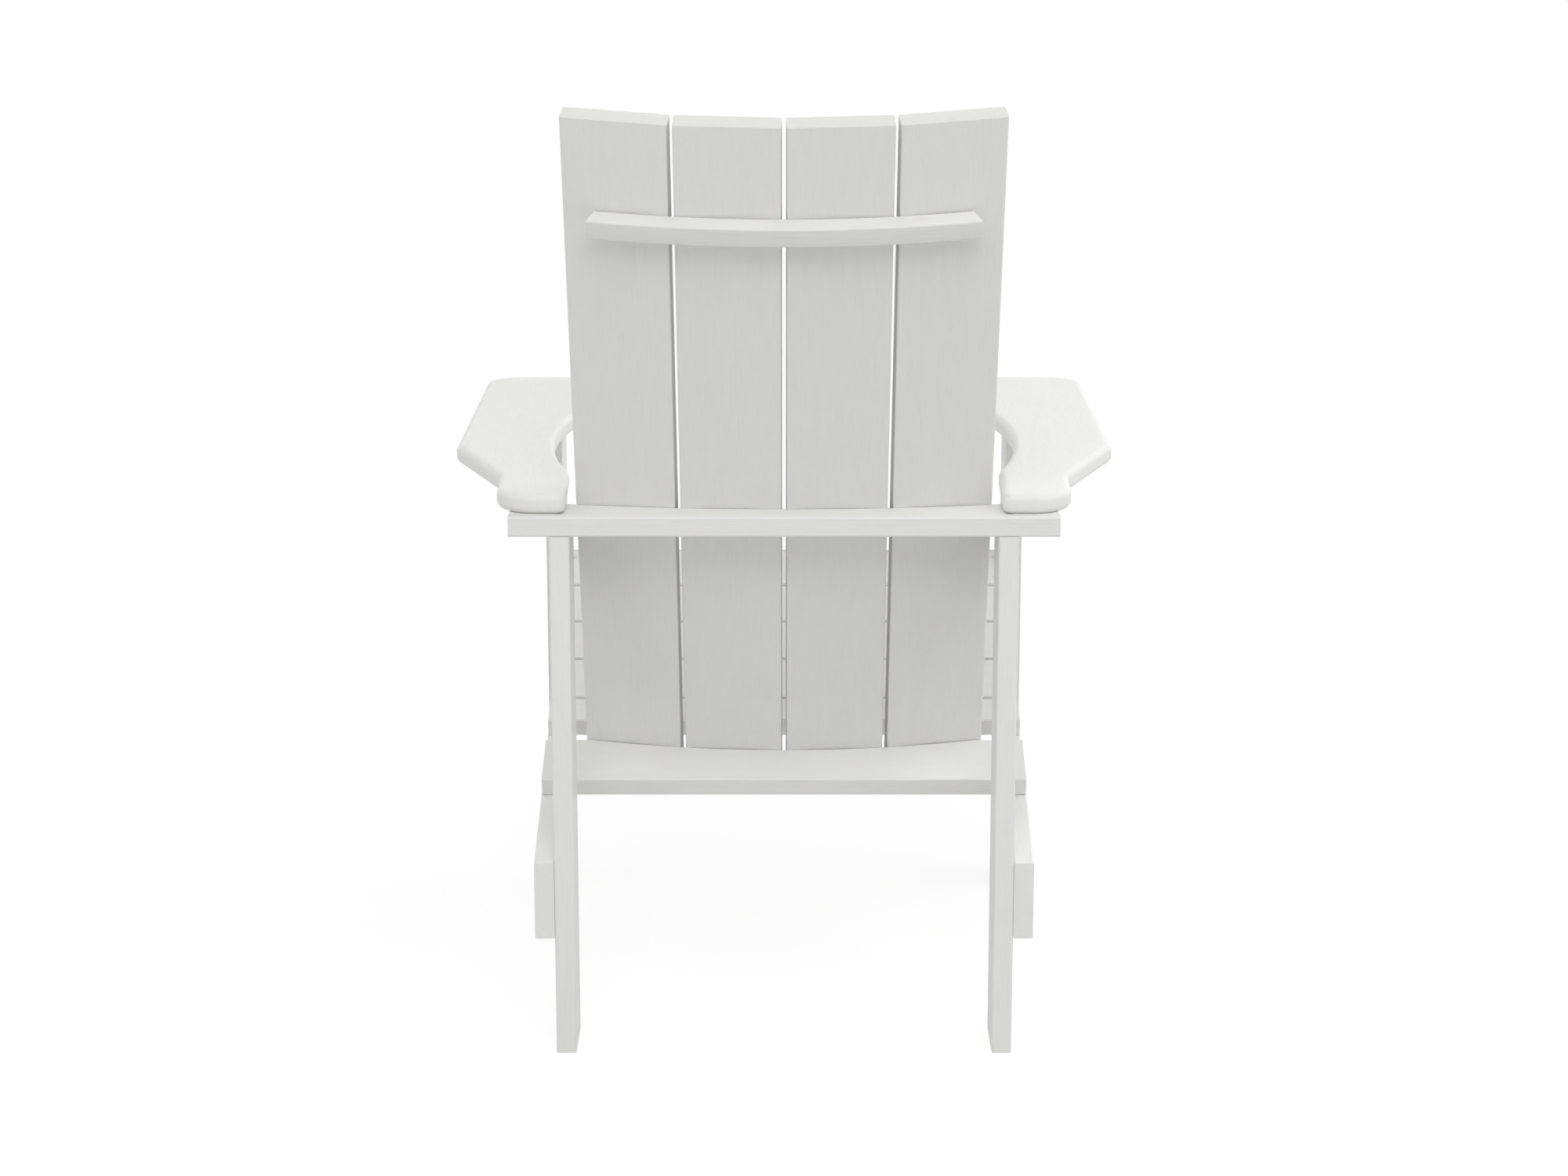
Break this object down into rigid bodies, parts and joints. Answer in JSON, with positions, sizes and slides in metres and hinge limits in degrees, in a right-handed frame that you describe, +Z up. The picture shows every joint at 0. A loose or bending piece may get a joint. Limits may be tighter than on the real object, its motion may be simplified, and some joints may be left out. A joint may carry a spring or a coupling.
{
  "type": "adirondack chair",
  "caption": "Plastic-lumber Adirondack chair: reclined flat-topped slat back on a shallow arc, sloping slatted seat, straight legs, wide flat arms with scooped inner edges.",
  "frame": {"origin": "on the floor, under the middle of the whole chair's box", "axes": "+Z up; the chair faces -Y, so the sitter's left is +X; X runs across the seat"},
  "size_m": [0.692, 0.8315, 0.9681],
  "materials": {
    "board": "white recycled-plastic lumber, matte, with a fine lengthwise grain and eased edges",
    "screw": "countersunk steel screws with heads painted to match the boards"
  },
  "bodies": {
    "root": {"back_slat_1": "board", "back_slat_2": "board", "back_slat_3": "board", "back_slat_4": "board", "upper_back_brace": "board", "arm_rail": "board", "lower_back_rail": "board", "left_stringer": "board", "right_stringer": "board", "left_rear_leg": "board", "right_rear_leg": "board", "left_front_leg": "board", "right_front_leg": "board", "left_arm": "board", "right_arm": "board", "left_arm_bracket": "board", "right_arm_bracket": "board", "seat_slat_1": "board", "seat_slat_2": "board", "seat_slat_3": "board", "seat_slat_4": "board", "seat_slat_5": "board", "nose_slat": "board", "front_apron": "board", "brace_screws": "screw", "arm_rail_screws": "screw", "lower_rail_screws": "screw", "seat_screws": "screw", "nose_screws": "screw", "apron_screws": "screw", "front_leg_screws": "screw", "rear_leg_screws": "screw", "rail_end_screws": "screw", "arm_screws": "screw", "bracket_screws": "screw", "pocket_screws": "screw"}
  },
  "joints": []
}
